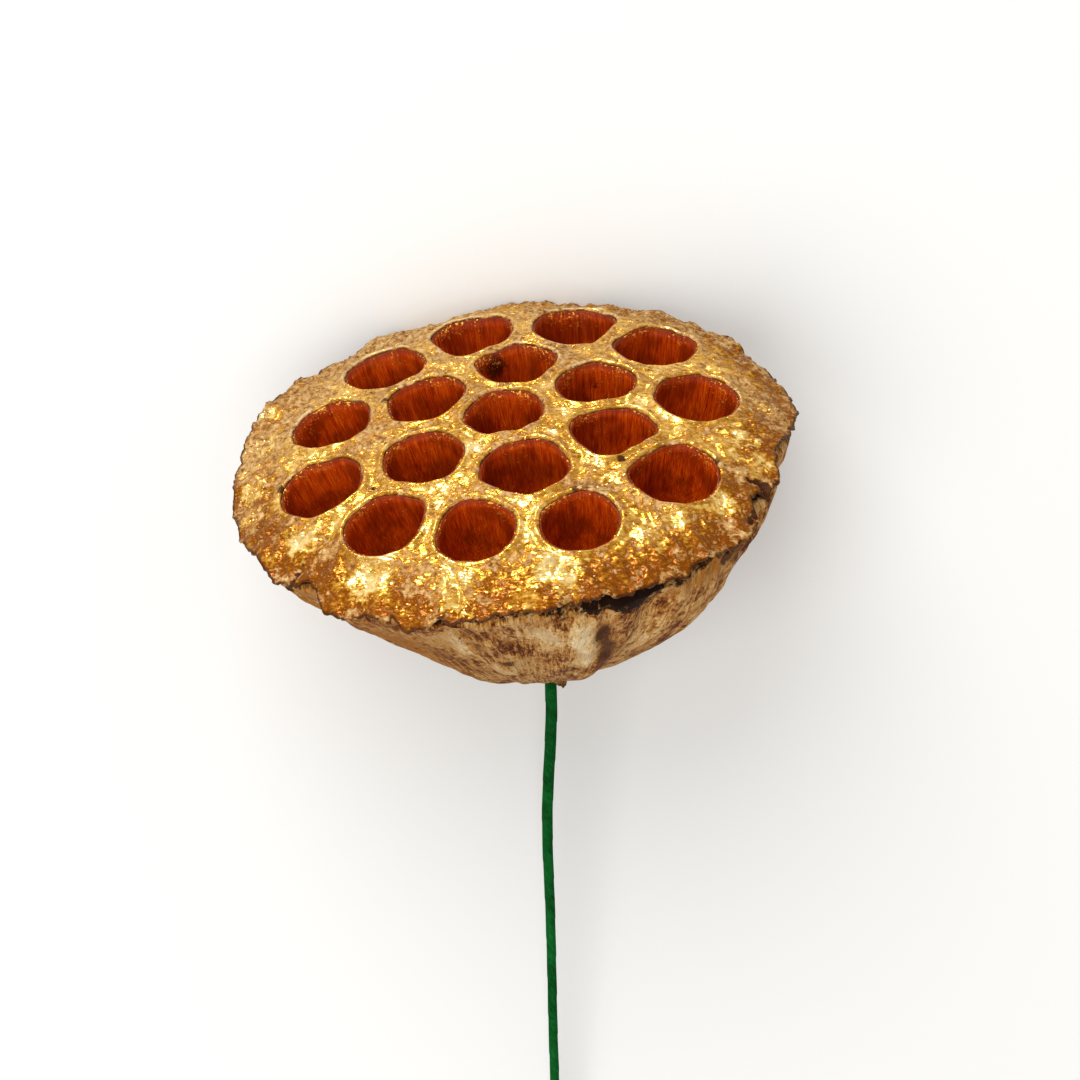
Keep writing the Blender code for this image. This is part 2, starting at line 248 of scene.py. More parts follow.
SKIN_SLANT = math.sin(math.radians(60))
SKIN_RINGS = (0.0, 0.18, 0.38, LIP_CREST, 0.82, 1.05)
WEB_START = 1.3
WEB_END = 1.3 * SKIN_SPACING
INNER_RIM = 0.7 * SKIN_SPACING
WIDEST_REACH = 49
MOUTH_POINTS = 96
RIM_POINTS = 720
REST_GAP = 0.02 * MM
SQUASH_HEIGHT = 0.35 * MM


def smooth(value, low, high):
    share = min(max((value - low) / (high - low), 0.0), 1.0)
    return share * share * (3 - 2 * share)


def hump(angle, direction, size, half_width):
    """A smooth hump of that size at a direction round the pod, in degrees."""
    away = (math.degrees(angle) - direction + 180) % 360 - 180
    return size * math.exp(-((away / half_width) ** 2))


def humps(angle, several):
    return sum(hump(angle, *each) for each in several)


def round_spot(angle, scale, along=0.0):
    """A point for noise that runs round the pod without a seam."""
    return Vector((math.cos(angle) * scale, math.sin(angle) * scale, along))


def rough(spot, octaves):
    """Noise added up from octaves, each of a height and a fineness."""
    return sum(height * noise.noise(spot * fineness) for height, fineness in octaves)


def ridge(spot):
    """Noise folded over, so that it rises to sharp creases."""
    return 0.4 - abs(noise.noise(spot)) * 2


def rim_radius(angle):
    """The rim's distance from the axis, with broad lobes and fine torn teeth."""
    spot = round_spot(angle, 1.0, 0.3)
    ragged = RIM_RAGGEDNESS * rough(spot, RIM_RAGS)
    return RIM_RADIUS + humps(angle, RIM_LOBES) + ragged + rough(spot, RIM_TEETH)


def rim_wave(angle):
    return RIM_WAVE_HEIGHT * rough(round_spot(angle, 1.0, 4.7), RIM_WAVES)


def mouth_reach(index, angle):
    """How far a mouth reaches from its centre: round, and flattened towards each neighbour."""
    x, y, widest = MOUTHS[index]
    total = widest**-CORNER_SHARPNESS
    for other_x, other_y, other_widest in MOUTHS:
        apart = math.hypot(other_x - x, other_y - y)
        if 0 < apart < NEIGHBOUR_REACH:
            side = (apart - WEB) * widest / (widest + other_widest)
            facing = math.cos(angle - math.atan2(other_y - y, other_x - x))
            total += (max(facing, 0.0) / side) ** CORNER_SHARPNESS
    return total ** (-1 / CORNER_SHARPNESS)


def mouth_gap(x, y):
    """Distance from a point of the face to the nearest mouth's edge, or FAR_GAP where that is less."""
    nearest = FAR_GAP
    for index, (mouth_x, mouth_y, widest) in enumerate(MOUTHS):
        away = math.hypot(x - mouth_x, y - mouth_y)
        if away - widest < nearest:
            reach = mouth_reach(index, math.atan2(y - mouth_y, x - mouth_x))
            nearest = min(nearest, away - reach)
    return nearest


def dome_height(x, y, gap):
    """The face as it grew: a dome with a raised lip round each mouth and a wrinkled margin."""
    radius = math.hypot(x, y)
    angle = math.atan2(y, x)
    fall = MARGIN_FALL * (1 - hump(angle, *FLAT_MARGIN))
    height = -DOME_FALL * radius**2 - fall * max(radius - MARGIN_START, 0.0) ** 2
    height += LIP_HEIGHT * math.exp(-(((gap - LIP_CREST) / LIP_WIDTH) ** 2))
    height += rough(Vector((x, y, 0.0)), DOME_DENTS)
    spokes = SPOKE_HEIGHT * noise.noise(round_spot(angle, 7, radius * 0.02))
    height += smooth(radius, MARGIN_START, RIM_RADIUS) * (spokes + rim_wave(angle))
    return height + humps(angle, RIM_FLARES) * smooth(radius, FLARE_START, RIM_RADIUS)


def crumple(x, y, gap):
    """Fine relief over the dome: dents and sharp creases of dry skin under leaf, radial on the margin."""
    radius = math.hypot(x, y)
    angle = math.atan2(y, x)
    spot = Vector((x, y, 3.0))
    creases = 0.22 * ridge(spot * 0.9 + Vector((7, 0, 0)))
    creases += 0.12 * ridge(spot * 2.1 + Vector((0, 9, 0)))
    rays = 0.42 * noise.noise(round_spot(angle, 15, radius * 0.12))
    rays += 0.20 * ridge(round_spot(angle, 26, radius * 0.22 + 5))
    on_margin = smooth(radius, 31, 39) * smooth(gap, 1.0, 4.0)
    between_lips = (rough(spot, SKIN_DENTS) + creases) * smooth(gap, 0.3, 1.6)
    return between_lips * (1 + 0.5 * on_margin) + rays * on_margin


def spots_at(x, y, spots):
    """How strongly a set of small spots shows at a point of the face, 0 to about 1."""
    return sum(
        strength * math.exp(-((x - spot_x) ** 2 + (y - spot_y) ** 2) / width**2)
        for spot_x, spot_y, width, strength in spots
    )


def sag(x, y):
    """How far the front lips of the back row of mouths have sagged."""
    lowest = 0.0
    for mouth_x, mouth_y, widest in MOUTHS:
        if mouth_y > BACK_ROW:
            away = 1 - smooth(math.hypot(x - mouth_x, y - mouth_y), widest, widest + SAG_REACH)
            lowest = max(lowest, smooth(mouth_y - y, 0.2 * widest, widest) * away)
    return SAG_DEPTH * lowest


def face_height(x, y):
    gap = mouth_gap(x, y)
    lowered = LIP_ROLL * (1 - smooth(gap, -0.1, 0.45)) + CRACK_DEPTH * spots_at(x, y, CRACKS) + sag(x, y)
    return dome_height(x, y, gap) + crumple(x, y, gap) - lowered


def circle_angles(count, start=0.0):
    return [2 * math.pi * (step + start) / count for step in range(count)]


def mouth_ring(index, offset):
    """Points round a mouth, at a distance outside its edge."""
    x, y, _ = MOUTHS[index]
    ring = []
    for angle in circle_angles(MOUTH_POINTS):
        reach = mouth_reach(index, angle) + offset
        ring.append((x + reach * math.cos(angle), y + reach * math.sin(angle)))
    return ring


def rim_ring(inset, start):
    ring = []
    for angle in circle_angles(RIM_POINTS, start):
        reach = rim_radius(angle) - inset
        ring.append((reach * math.cos(angle), reach * math.sin(angle)))
    return ring


def web_points():
    """Points of a staggered grid that fill the face between the lips and the rim, each nudged a little."""
    points = []
    rows = int(RIM_RADIUS / SKIN_SPACING / SKIN_SLANT) + 8
    for row in range(-rows, rows + 1):
        for column in range(-rows, rows + 1):
            x = SKIN_SPACING * (column + 0.5 * (row % 2))
            y = SKIN_SPACING * row * SKIN_SLANT
            nudge = noise.noise_vector(Vector((x, y, 1.0)) * 2) * 0.3 * SKIN_SPACING
            x += nudge.x
            y += nudge.y
            away = math.hypot(x, y)
            if away > WIDEST_REACH:
                continue
            inside = away < rim_radius(math.atan2(y, x)) - WEB_END
            if inside and mouth_gap(x, y) > WEB_START:
                points.append((x, y))
    return points


def settle(mesh):
    """Squashes what would sink into the table, so that the rim's low lobes rest flat on it."""
    soft = SQUASH_HEIGHT - REST_GAP
    for vert in mesh.vertices:
        if vert.co.z < SQUASH_HEIGHT:
            vert.co.z = REST_GAP + soft * math.exp((vert.co.z - SQUASH_HEIGHT) / soft)


def in_frame(name, bm):
    """Makes a mesh object of pod millimetres, with its place in the part's frame in its mesh."""
    mesh = bpy.data.meshes.new(name)
    bm.to_mesh(mesh)
    bm.free()
    placed = POD_TURN.copy()
    placed.translation = FACE_MIDDLE
    mesh.transform(placed @ Matrix.Diagonal((MM, MM, MM, 1)))
    settle(mesh)
    mesh.shade_smooth()
    return add_object(name, mesh)


def belongs(thing, node):
    """The piece rides on the one body and stands in for its CAD node, which it hides."""
    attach(thing, "root")
    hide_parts(node)


def evaluated_mesh(thing):
    """The plain mesh that an object's modifiers or a curve's bevel make."""
    bpy.context.view_layer.update()
    return bpy.data.meshes.new_from_object(thing.evaluated_get(bpy.context.evaluated_depsgraph_get()))


def thicken(thing, thickness):
    """Gives an open mesh an inner side, that many millimetres in."""
    wall = thing.modifiers.new("thickness", "SOLIDIFY")
    wall.thickness = thickness * MM
    wall.offset = -1
    mesh = evaluated_mesh(thing)
    thing.modifiers.clear()
    settle(mesh)
    thing.data = mesh


loops = [rim_ring(0.0, 0.0)]
for index in range(len(MOUTHS)):
    loops += [mouth_ring(index, offset) for offset in SKIN_RINGS]
points = []
edges = []
for loop in loops:
    start = len(points)
    points += loop
    edges += [(start + k, start + (k + 1) % len(loop)) for k in range(len(loop))]
noise.seed_set(NUDGE_SEED)
points += rim_ring(INNER_RIM, 0.5) + web_points()
flat, _, triangles, sources, _, _ = delaunay_2d_cdt([Vector(p) for p in points], edges, [], 1, 1e-5)
ring_starts = [RIM_POINTS + len(SKIN_RINGS) * MOUTH_POINTS * k for k in range(len(MOUTHS))]
mouth_of = {start + k: start for start in ring_starts for k in range(MOUTH_POINTS)}
skin = bmesh.new()
layers = {name: skin.verts.layers.float.new(name) for name in ("gap", "radius", "worn", "grime", "shine")}
skin_verts = []
for spot in flat:
    vert = skin.verts.new((spot.x, spot.y, face_height(spot.x, spot.y)))
    angle = math.atan2(spot.y, spot.x)
    margin_wear = humps(angle, WORN_MARGIN) * smooth(spot.length, 30, 37)
    vert[layers["gap"]] = mouth_gap(spot.x, spot.y)
    vert[layers["radius"]] = spot.length / rim_radius(angle)
    vert[layers["worn"]] = margin_wear + BACK_WEAR * smooth(spot.y, -5, 30)
    # Dark marks: grime at the grime spots, and painted shade in the cracks.
    vert[layers["grime"]] = spots_at(spot.x, spot.y, CRACKS + GRIME)
    vert[layers["shine"]] = spots_at(spot.x, spot.y, PAINTED_HIGHLIGHTS)
    skin_verts.append(vert)
for triangle in triangles:
    owners = {mouth_of.get(sources[k][0]) for k in triangle}
    if len(owners) > 1 or None in owners:
        skin.faces.new([skin_verts[k] for k in triangle])
gilded_face = in_frame("gilded_face", skin)
outer_skin = gilded_face.data.copy()
thicken(gilded_face, SKIN_THICKNESS)


class Shade:
    """One value in a finish: a socket of its node tree. Arithmetic on it adds Math nodes."""

    def __init__(self, tree, socket=None):
        self.tree = tree
        self.socket = socket

    def node(self, kind, settings=None, inputs=None, output=0):
        """Adds a node: its settings first, then the values or links of its sockets."""
        made = self.tree.nodes.new(kind)
        for name, value in (settings or {}).items():
            if name == "stops":
                for _ in range(len(value) - 2):
                    made.color_ramp.elements.new(0.5)
                for element, (place, colour) in zip(made.color_ramp.elements, value):
                    element.position = place
                    element.color = (*colour, 1)
            else:
                setattr(made, name, value)
        for name, value in (inputs or {}).items():
            if isinstance(value, Shade):
                self.tree.links.new(value.socket, made.inputs[name])
            else:
                made.inputs[name].default_value = value
        return Shade(self.tree, made.outputs[output])

    def place(self):
        """The place in the piece's own coordinates, in metres."""
        return self.node("ShaderNodeTexCoord", output=3)

    def layer(self, name):
        """The number that the mesh holds under that name."""
        return self.node("ShaderNodeAttribute", {"attribute_name": name}, output=2)

    def vector_layer(self, name):
        return self.node("ShaderNodeAttribute", {"attribute_name": name}, output=1)

    def maths(self, operation, first, second):
        return self.node("ShaderNodeMath", {"operation": operation}, {0: first, 1: second})

    def __add__(self, other):
        return self.maths("ADD", self, other)

    __radd__ = __add__

    def __sub__(self, other):
        return self.maths("SUBTRACT", self, other)

    def __rsub__(self, other):
        return self.maths("SUBTRACT", other, self)

    def __mul__(self, other):
        return self.maths("MULTIPLY", self, other)

    __rmul__ = __mul__

    def or_more(self, other):
        return self.maths("MAXIMUM", self, other)

    def rise(self, low, high):
        """0 below low and 1 above high, with a smooth step between, or falling where low is the larger."""
        steps = {"Value": self, "From Min": low, "From Max": high}
        return self.node("ShaderNodeMapRange", {"interpolation_type": "SMOOTHSTEP"}, steps)

    def between(self, first, second):
        """Mixes two colours by this mask."""
        settings = {"data_type": "RGBA"}
        return self.node("ShaderNodeMix", settings, {0: self, 6: first, 7: second}, output=2)

    def ramp(self, *stops):
        return self.node("ShaderNodeValToRGB", {"stops": stops}, {0: self})

    def grain(self, scale, detail=3.0, roughness=0.55, stretch=(1, 1, 1), shift=(0, 0, 0), kind="FBM"):
        """Noise of this vector. Scale counts features a unit, and stretch squeezes them along an axis."""
        spot = self.node("ShaderNodeMapping", {}, {"Vector": self, "Location": shift, "Scale": stretch})
        sizes = {"Vector": spot, "Scale": scale, "Detail": detail, "Roughness": roughness}
        return self.node("ShaderNodeTexNoise", {"noise_type": kind}, sizes)

    def bump(self, strength, distance):
        """The relief of this height, of which 1 stands for a distance in metres."""
        return self.node("ShaderNodeBump", {}, {"Strength": strength, "Distance": distance, "Height": self})


def colour(red, green, blue):
    return (red, green, blue, 1)


def new_finish(name):
    """A material of one Principled shader, and a Shade that starts its values."""
    finish = bpy.data.materials.new(name)
    finish.use_nodes = True
    return finish, Shade(finish.node_tree)


def feed(finish, **values):
    """Sets or links the finish's own sockets. A name's underscores stand for spaces."""
    shader = finish.node_tree.nodes["Principled BSDF"]
    for name, value in values.items():
        socket = shader.inputs[name.replace("_", " ")]
        if isinstance(value, Shade):
            finish.node_tree.links.new(value.socket, socket)
        else:
            socket.default_value = value


# Gold leaf rubbed over tan, fibrous skin: it lies thick on the webs and the front margin, is rubbed off the
# lips and much of the back, and breaks up everywhere into glints, orange hollows and dark specks. Its colour
# holds painted light too: lighter gold at listed spots as painted highlights, darker amber towards the rim
# partly as painted shade, and near black in the rim's cracks as painted shade.

leaf, shade = new_finish("gilded_skin")
place = shade.place()
gap = shade.layer("gap")
reach = shade.layer("radius")
worn = shade.layer("worn")
grime = shade.layer("grime")
shine = shade.layer("shine")
broad = place.grain(110, 3)
patches = place.grain(420, 4, 0.6, shift=(3, 0, 0))
flecks = place.grain(1700, 4, 0.65, stretch=(0.5, 1, 1), shift=(0, 5, 0))
foil = place.grain(1900, 2, 0.5, stretch=(0.4, 1, 1), kind="RIDGED_MULTIFRACTAL")
fibres = place.grain(1100, 5, 0.7, shift=(0, 0, 9))
# A zone of painted highlight: lighter, more metallic and smoother gold at the listed spots and in broad
# patches.
highlight_zone = (shine * 0.7 + patches * 1.2 + flecks * 0.4 - 0.9).rise(0.1, 0.5)
# Darker, less metallic amber gold towards the rim: partly the leaf's own tone, partly painted shade where the
# margin falls away.
amber_and_rim_shade = reach.rise(0.78, 0.95) * (1 - highlight_zone)
cover = broad * 0.8 + patches * 0.9 + flecks * 0.6 + highlight_zone * 0.05 - worn * 0.24 - 1.04
leaf_mask = cover.rise(-0.05, 0.09)
tissue = fibres.ramp(
    (0.32, (0.15, 0.045, 0.006)),
    (0.44, (0.40, 0.19, 0.045)),
    (0.54, (0.61, 0.37, 0.14)),
    (0.70, (0.84, 0.61, 0.34)),
)
lip_line = gap.rise(0.6, 0.45) * gap.rise(0.1, 0.25) * patches.rise(0.40, 0.50)
skin_colour = (lip_line * 0.7).between(tissue, colour(0.84, 0.64, 0.36))
gold = (flecks * 0.4 + patches * 0.3 + broad * 0.35 + highlight_zone * 0.07 - amber_and_rim_shade * 0.095 - 0.055).ramp(
    (0.40, (0.27, 0.080, 0.003)),
    (0.46, (0.52, 0.24, 0.022)),
    (0.53, (0.78, 0.47, 0.11)),
    (0.62, (0.98, 0.74, 0.34)),
)
edge_dark = reach.rise(0.987, 0.998) * patches.rise(0.38, 0.48)
mouth_dark = gap.rise(0.28, 0.10) * patches.rise(0.47, 0.53) * 0.8
specks = (flecks * 0.7 + fibres * 0.3).rise(0.40, 0.34)
# Near black in the cracks as painted shade, and at the grime spots as grime.
smudge_and_crack_shade = (grime * 0.8 + flecks * 0.8 - 0.4).rise(0.28, 0.48)
dark_marks_and_crack_shade = (edge_dark.or_more(mouth_dark) * 0.85).or_more(specks * 0.7).or_more(smudge_and_crack_shade * 0.95)
surface = leaf_mask.between(skin_colour, gold)
creases = (flecks * 0.25 + foil * 0.55 + patches * 0.3) * (1 - highlight_zone * 0.1) + leaf_mask * 0.12
feed(
    leaf,
    Base_Color=dark_marks_and_crack_shade.between(surface, colour(0.07, 0.02, 0.004)),
    Metallic=leaf_mask * (1 - dark_marks_and_crack_shade) * (highlight_zone * 0.06 - amber_and_rim_shade * 0.33 + 0.58),
    Roughness=0.60 - leaf_mask * 0.43 + flecks * 0.10,
    Specular_IOR_Level=0.15,
    Normal=creases.bump(1.0, 0.00035),
)
gilded_face.data.materials.append(leaf)
belongs(gilded_face, "pod")


# The seed chambers: deep round-bottomed cups of hard, glossy red-brown skin that hang from the lips. They
# lean together towards a point on the pod's axis, and fine grain runs down their walls.

CHAMBER_DEPTH = 16.5
CHAMBER_FOCUS = 130.0
FLOOR_ROUNDING = 3.4
CUP_ROWS = 20
CUP_TUCK = 0.15
CUP_DROP = 0.25
CUP_THICKNESS = 0.4
DEBRIS = {1: (124, 30, 0.14, 0.20), 2: (84, 10, 0.24, 0.05)}

cups = bmesh.new()
grain_layer = cups.verts.layers.float_vector.new("grain")
depth_layer = cups.verts.layers.float.new("depth")
debris_layer = cups.verts.layers.float.new("debris")


def debris_at(index, angle, share):
    """How thickly the debris stuck in two of the chambers lies at a point of the wall, 0 to about 1."""
    if index not in DEBRIS:
        return 0.0
    direction, width, middle, height = DEBRIS[index]
    return hump(angle, direction, 1.0, width) * math.exp(-(((share - middle) / height) ** 2))


def cup_row(index, share):
    """A row of the chamber's wall, at a share of the way down from the mouth's edge to its floor."""
    x, y, _ = MOUTHS[index]
    top = Vector((x, y, dome_height(x, y, FAR_GAP)))
    down = (Vector((0, 0, -CHAMBER_FOCUS)) - top).normalized()
    width = math.sqrt(max(1 - share**FLOOR_ROUNDING, 0.0))
    row = []
    for angle in circle_angles(MOUTH_POINTS):
        rough = 0.12 * noise.noise(round_spot(angle, 7.7, share * 2.2 + 20 * index))
        rough += 0.05 * noise.noise(round_spot(angle, 22, share * 3 + 9 * index))
        reach_here = mouth_reach(index, angle) + CUP_TUCK + rough * smooth(share, 0.0, 0.2)
        edge_x = x + reach_here * math.cos(angle)
        edge_y = y + reach_here * math.sin(angle)
        edge = Vector((edge_x, edge_y, face_height(edge_x, edge_y) - CUP_DROP)) - top
        rise = edge.dot(down)
        side = edge - down * rise
        spot = top + down * (share * CHAMBER_DEPTH + rise * (1 - share)) + side * width
        vert = cups.verts.new(spot)
        vert[grain_layer] = round_spot(angle, 7.0 * width, share * CHAMBER_DEPTH) + Vector((0, 0, 40 * index))
        vert[depth_layer] = share * CHAMBER_DEPTH
        vert[debris_layer] = debris_at(index, angle, share)
        row.append(vert)
    return row


for index in range(len(MOUTHS)):
    above = cup_row(index, 0.0)
    for step in range(1, CUP_ROWS):
        below = cup_row(index, math.sin(0.5 * math.pi * step / CUP_ROWS) ** 0.9)
        for k in range(MOUTH_POINTS):
            after = (k + 1) % MOUTH_POINTS
            cups.faces.new((above[k], below[k], below[after], above[after]))
        above = below
    cups.faces.new(above)
seed_chambers = in_frame("seed_chambers", cups)
outer_cups = seed_chambers.data.copy()
thicken(seed_chambers, CUP_THICKNESS)

lining, shade = new_finish("chamber_lining")
place = shade.place()
grain = shade.vector_layer("grain")
depth = shade.layer("depth")
debris = shade.layer("debris")
streaks = grain.grain(1.6, 4, 0.6, stretch=(1, 1, 0.06))
threads = grain.grain(8.0, 3, 0.6, stretch=(1, 1, 0.05))
clouds = grain.grain(0.16, 2)
flecks = place.grain(1900, 4, 0.7)
spread = place.grain(220, 3)
# The wall is painted a little lighter further down, as painted light, and darker in broad clouds and just
# under the mouth's edge, as painted shade.
wall_colour = (streaks * 0.35 + threads * 0.65 + depth.rise(3.0, 11.0) * 0.05).ramp(
    (0.34, (0.22, 0.015, 0.0006)),
    (0.45, (0.45, 0.047, 0.0012)),
    (0.55, (0.64, 0.100, 0.0026)),
    (0.68, (0.84, 0.23, 0.010)),
)
shaded = (clouds.rise(0.60, 0.40) * 0.5).or_more(depth.rise(1.4, 0.2) * 0.6)
wall_colour = shaded.between(wall_colour, colour(0.14, 0.010, 0.0008))
gold_at = (flecks + spread * 0.5 + depth.rise(6.0, 0.3) * 0.12 + debris * 0.06).rise(0.965, 1.0)
crumbs = (debris * 0.6 + flecks * 0.7 + spread * 0.5 - 0.6).rise(0.25, 0.5)
wall_colour = (crumbs * 0.9).between(wall_colour, colour(0.045, 0.008, 0.001))
feed(
    lining,
    Base_Color=gold_at.between(wall_colour, colour(0.95, 0.48, 0.09)),
    Metallic=gold_at * 0.8,
    Roughness=0.42 + streaks * 0.12,
    Specular_IOR_Level=0.2,
    Normal=(streaks + threads * 0.7 + gold_at * 0.5).bump(0.8, 0.00012),
)
seed_chambers.data.materials.append(lining)
belongs(seed_chambers, "pod")


# The underside: bare woody skin, folded and fibrous, that narrows from under the torn rim to the stub of the
# old stalk. It grew in one with the face, so its top edge runs up inside the rim. Stains, pits and pale
# ridges lie at a direction round the pod and a share of the way down, each with half its width and height.

UNDER_TOP = 9.5
UNDER_DEPTH = 40.5
UNDER_POWER = 0.6
UNDER_SWELLS = ((-44, 0.08, 36), (-125, -0.08, 45))
FOLD_COUNT = 19
FOLD_HEIGHT = 0.75
UNDER_CREASES = (
    (-51, 0.9, 6),
    (-65, -1.9, 5),
    (-76, 1.5, 5),
    (-92, -0.7, 5),
    (-111, -1.2, 5),
    (-123, 0.9, 5),
)
RIM_EDGE = 0.9
RIM_OVERHANG = 1.6
WIDE_OVERHANG = (-68, 1.2, 16)
GROOVE_SHADE_WIDENING = 2.4
STALK_RADIUS = 3.4
STALK_END = -51.0
NUB = (-38, 2.4, 32)
STUB_ROWS = ((STALK_RADIUS, -0.2, 0), (STALK_RADIUS - 0.25, 0, 1), (0.55 * STALK_RADIUS, 0, 0.1))
UNDER_STEPS = 84
UNDER_START = 0.03
UNDER_SPAN = 0.955
UNDER_CROWDING = 1.1
UNDER_COUNTS = ((0.35, 720), (0.65, 480), (0.9, 240), (1.0, 120))
DARK_MARKS = (
    (-102, 0.46, 2.6, 0.030, 1.0),
    (-75.5, 0.26, 2.0, 0.090, 1.1),
    (-73, 0.45, 2.4, 0.120, 1.0),
    (-108, 0.30, 2.5, 0.050, 0.55),
    (-99, 0.28, 2.0, 0.060, 0.45),
    (-47, 0.05, 4.0, 0.040, 0.8),
    (-41, 0.12, 3.0, 0.060, 0.7),
    (-57, 0.62, 4.0, 0.060, 0.5),
    (-140, 0.10, 5.0, 0.030, 0.6),
    (-122, 0.08, 6.0, 0.025, 0.55),
    (-86, 0.06, 5.0, 0.020, 0.6),
    (20, 0.35, 6.0, 0.120, 0.6),
    (75, 0.50, 5.0, 0.100, 0.6),
    (150, 0.40, 7.0, 0.080, 0.6),
    (-170, 0.25, 5.0, 0.100, 0.6),
)
PALE_MARKS = (
    (-81, 0.22, 2.2, 0.120, 1.2),
    (-78.5, 0.46, 2.2, 0.130, 1.2),
    (-90, 0.24, 7.0, 0.100, 0.7),
    (-111.5, 0.28, 1.5, 0.160, 0.9),
    (-105, 0.55, 5.0, 0.060, 0.5),
    (-62, 0.40, 5.0, 0.120, 0.45),
    (45, 0.30, 3.0, 0.200, 0.7),
    (110, 0.35, 3.0, 0.200, 0.7),
    (-20, 0.45, 3.0, 0.180, 0.6),
)
GOLDEN_MARKS = ((-132, 0.35, 12.0, 0.300, 1.0), (-53, 0.08, 5.0, 0.050, 0.8), (-150, 0.15, 8.0, 0.150, 0.7))
PIT_DEPTH = 0.8
INNER_ROWS = (0.02, 0.2, 0.45, 0.7, 0.85)
INNER_SHARE = 0.93


def marks_at(angle, share, marks):
    """How strongly a set of marks shows at a point of the underside, 0 to about 1."""
    return sum(
        hump(angle, direction, strength, width) * math.exp(-(((share - middle) / height) ** 2))
        for direction, middle, width, height, strength in marks
    )


def zip_loops(bm, first, second):
    """Skins the band between two closed loops of vertices, whose counts may differ."""
    i = j = 0
    while i < len(first) or j < len(second):
        a = first[i % len(first)]
        b = second[j % len(second)]
        if j == len(second) or (i < len(first) and i * len(second) <= j * len(first)):
            i += 1
            bm.faces.new((a, b, first[i % len(first)]))
        else:
            j += 1
            bm.faces.new((a, b, second[j % len(second)]))


def fibre_relief(angle, share):
    """Fine relief of the woody skin: threads that run from the rim to the stalk, and shallow pits."""
    along = share * 6
    threads = 0.26 * noise.noise(round_spot(angle, 24, along))
    threads += 0.16 * noise.noise(round_spot(angle, 52, along * 1.4))
    wrinkles = 0.5 * (0.35 - abs(noise.noise(round_spot(angle, 7, share * 9 + 30))))
    pits = 0.35 * noise.noise(round_spot(angle, 13, share * 20 + 60))
    marks = 0.5 * marks_at(angle, share, PALE_MARKS) - PIT_DEPTH * marks_at(angle, share, DARK_MARKS)
    return threads + wrinkles + pits + marks


def under_point(angle, share):
    """A point of the underside, at a share of the way from the rim to the stalk."""
    narrow = (1 - share) ** UNDER_POWER
    swell = 1 + humps(angle, UNDER_SWELLS) * math.sin(math.pi * share)
    radius = (rim_radius(angle) * (1 - share) + RIM_RADIUS * share) * narrow * swell
    spot = Vector((math.cos(angle) * 1.6, math.sin(angle) * 1.6, share * 1.5))
    fold = math.sin(FOLD_COUNT * angle + 4 * noise.noise(spot)) + 1.3 * noise.noise(spot * 2.2)
    relief = FOLD_HEIGHT * fold + humps(angle, UNDER_CREASES) + fibre_relief(angle, share)
    radius += relief * narrow * smooth(share, 0.0, 0.15)
    x = RIM_RADIUS * math.cos(angle)
    y = RIM_RADIUS * math.sin(angle)
    height = dome_height(x, y, FAR_GAP) * (1 - share) - (UNDER_TOP + UNDER_DEPTH) * share
    return Vector((radius * math.cos(angle), radius * math.sin(angle), height))


under = bmesh.new()
grain_layer = under.verts.layers.float_vector.new("grain")
share_layer = under.verts.layers.float.new("share")
stain_layer = under.verts.layers.float.new("stain")
pale_layer = under.verts.layers.float.new("pale")
golden_layer = under.verts.layers.float.new("golden")


def under_row(count, share, place_of):
    row = []
    for angle in circle_angles(count):
        vert = under.verts.new(place_of(angle))
        vert[grain_layer] = round_spot(angle, 30.0, share * 55)
        # The share is shrunk where the overhang is widest, so that the groove's painted shade reaches further
        # down there.
        vert[share_layer] = share / (1 + GROOVE_SHADE_WIDENING * hump(angle, *WIDE_OVERHANG))
        vert[stain_layer] = marks_at(angle, share, DARK_MARKS)
        vert[pale_layer] = marks_at(angle, share, PALE_MARKS)
        vert[golden_layer] = marks_at(angle, share, GOLDEN_MARKS)
        row.append(vert)
    return row


def groove_point(angle):
    """A point of the groove under the rim's overhang, which is painted dark as shade."""
    reach_here = rim_radius(angle) - RIM_OVERHANG - hump(angle, *WIDE_OVERHANG)
    x = reach_here * math.cos(angle)
    y = reach_here * math.sin(angle)
    return Vector((x, y, face_height(x, y) - RIM_EDGE + 0.25))


top_edge = under_row(UNDER_COUNTS[0][1], 0.0, groove_point)
above = top_edge
for step in range(1, UNDER_STEPS):
    share = UNDER_START + UNDER_SPAN * (step / UNDER_STEPS) ** UNDER_CROWDING
    count = next(several for end, several in UNDER_COUNTS if share < end)
    below = under_row(count, share, lambda angle: under_point(angle, share))
    zip_loops(under, above, below)
    above = below


def stub_point(angle, radius, height, jag):
    """A point of the old stalk's torn stub, whose edge is jagged and has a nub on one side."""
    torn = jag * (0.8 + hump(angle, *NUB) + 0.5 * noise.noise(round_spot(angle, 6)))
    return Vector((radius * math.cos(angle), radius * math.sin(angle), STALK_END + height - torn))


for radius, height, jag in STUB_ROWS:
    below = under_row(120, 1.0, lambda angle: stub_point(angle, radius, height, jag))
    zip_loops(under, above, below)
    above = below
under.faces.new(above)


def inner_point(angle, share):
    """A point inside the skin, which gives it a thickness that the seed chambers hide."""
    outer = under_point(angle, share)
    return Vector((outer.x * INNER_SHARE, outer.y * INNER_SHARE, outer.z + 0.5))


above = top_edge
for share in INNER_ROWS:
    below = under_row(120, share, lambda angle: inner_point(angle, share))
    zip_loops(under, above, below)
    above = below
under.faces.new(above)
bmesh.ops.recalc_face_normals(under, faces=under.faces)
woody_underside = in_frame("woody_underside", under)

